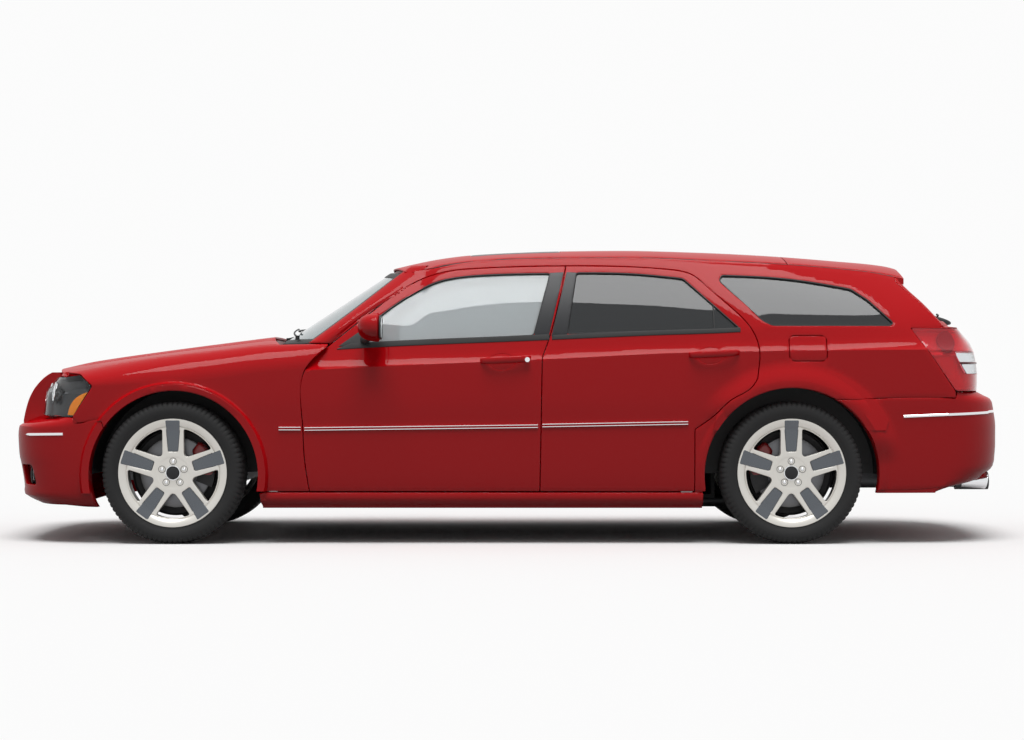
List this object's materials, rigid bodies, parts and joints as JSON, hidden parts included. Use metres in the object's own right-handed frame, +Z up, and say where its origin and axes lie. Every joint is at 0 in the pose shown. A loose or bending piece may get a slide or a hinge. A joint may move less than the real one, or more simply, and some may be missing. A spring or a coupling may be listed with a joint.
{
  "type": "station wagon",
  "caption": "Full-size station wagon with hinged doors, hood and tailgate, steered front wheels and free-turning wheels.",
  "frame": {"origin": "on the ground at the middle of the car's length and width", "axes": "+X towards the tail, +Y towards the car's right side, +Z up"},
  "size_m": [5.0221, 2.16, 1.4808],
  "materials": {
    "paint": "deep metallic red gloss",
    "clear_glass": "clear",
    "privacy_glass": "dark tint",
    "lamp_clear": "clear lens over dark housing",
    "lamp_red": "moulded red lens",
    "chrome": "polished",
    "polished_alloy": "polished",
    "aluminium": "cast",
    "steel_dark": "satin black",
    "steel_bright": "satin",
    "black_plastic": "grained",
    "cabin_plastic": "soft grain",
    "leather": "grained",
    "tyre": "moulded rubber"
  },
  "bodies": {
    "root": {"body_sides": "paint", "quarter_glass": "privacy_glass", "roof": "paint", "sunroof": "privacy_glass", "windscreen": "clear_glass", "front_fenders": "paint", "front_bumper": "paint", "headlamps": "lamp_clear", "grille": "chrome", "rear_bumper": "paint", "tail_lamps": "lamp_red", "cowl": "black_plastic", "floor_pan": "steel_dark", "front_wheel_housings": "black_plastic", "rear_wheel_housings": "black_plastic", "front_seats": "leather", "rear_seat": "leather", "dashboard": "cabin_plastic", "steering_wheel": "cabin_plastic", "engine_block": "aluminium", "front_suspension": "steel_dark", "rear_suspension": "steel_dark", "exhaust": "steel_bright"},
    "hood": {"hood": "paint"},
    "tailgate": {"tailgate": "paint", "tailgate_glass": "privacy_glass"},
    "fuel_door": {"fuel_door": "paint"},
    "front_door_left": {"front_door_left": "paint", "front_door_glass_left": "clear_glass", "mirror_left": "paint"},
    "rear_door_left": {"rear_door_left": "paint", "rear_door_glass_left": "privacy_glass"},
    "knuckle_left": {"knuckle_left": "steel_dark"},
    "front_wheel_left": {"tyre_front_left": "tyre", "wheel_front_left": "polished_alloy"},
    "rear_wheel_left": {"tyre_rear_left": "tyre", "wheel_rear_left": "polished_alloy"},
    "front_door_right": {"front_door_right": "paint", "front_door_glass_right": "clear_glass", "mirror_right": "paint"},
    "rear_door_right": {"rear_door_right": "paint", "rear_door_glass_right": "privacy_glass"},
    "knuckle_right": {"knuckle_right": "steel_dark"},
    "front_wheel_right": {"tyre_front_right": "tyre", "wheel_front_right": "polished_alloy"},
    "rear_wheel_right": {"tyre_rear_right": "tyre", "wheel_rear_right": "polished_alloy"}
  },
  "joints": [
    {"name": "front_door_left_swing", "type": "hinge", "parent": "root", "child": "front_door_left", "pos_m": [-1.009, -0.915, 0.7], "axis": [0, 0, -1], "range_deg": [0, 66]},
    {"name": "rear_door_left_swing", "type": "hinge", "parent": "root", "child": "rear_door_left", "pos_m": [0.163, -0.915, 0.7], "axis": [0, 0, -1], "range_deg": [0, 68]},
    {"name": "steer_left", "type": "hinge", "parent": "root", "child": "knuckle_left", "pos_m": [-1.6505, -0.735, 0.35], "axis": [0, 0, 1], "range_deg": [-32, 32]},
    {"name": "front_wheel_left_spin", "type": "hinge", "parent": "knuckle_left", "child": "front_wheel_left", "pos_m": [-1.6505, -0.8, 0.35], "axis": [0, 1, 0], "continuous": true},
    {"name": "rear_wheel_left_spin", "type": "hinge", "parent": "root", "child": "rear_wheel_left", "pos_m": [1.3975, -0.8, 0.35], "axis": [0, 1, 0], "continuous": true},
    {"name": "front_door_right_swing", "type": "hinge", "parent": "root", "child": "front_door_right", "pos_m": [-1.009, 0.915, 0.7], "axis": [0, 0, 1], "range_deg": [0, 66]},
    {"name": "rear_door_right_swing", "type": "hinge", "parent": "root", "child": "rear_door_right", "pos_m": [0.163, 0.915, 0.7], "axis": [0, 0, 1], "range_deg": [0, 68]},
    {"name": "steer_right", "type": "hinge", "parent": "root", "child": "knuckle_right", "pos_m": [-1.6505, 0.735, 0.35], "axis": [0, 0, 1], "range_deg": [-32, 32]},
    {"name": "front_wheel_right_spin", "type": "hinge", "parent": "knuckle_right", "child": "front_wheel_right", "pos_m": [-1.6505, 0.8, 0.35], "axis": [0, 1, 0], "continuous": true},
    {"name": "rear_wheel_right_spin", "type": "hinge", "parent": "root", "child": "rear_wheel_right", "pos_m": [1.3975, 0.8, 0.35], "axis": [0, 1, 0], "continuous": true},
    {"name": "hood_lift", "type": "hinge", "parent": "root", "child": "hood", "pos_m": [-1.13, 0, 1.026], "axis": [0, 1, 0], "range_deg": [0, 50]},
    {"name": "tailgate_lift", "type": "hinge", "parent": "root", "child": "tailgate", "pos_m": [1.412, 0, 1.453], "axis": [0, -1, 0], "range_deg": [0, 72]},
    {"name": "fuel_door_swing", "type": "hinge", "parent": "root", "child": "fuel_door", "pos_m": [1.389, -0.912, 0.96], "axis": [0, 0, -1], "range_deg": [0, 85]}
  ],
  "couplings": [
    {"joint": "steer_right", "follows": "steer_left", "ratio": 1}
  ]
}
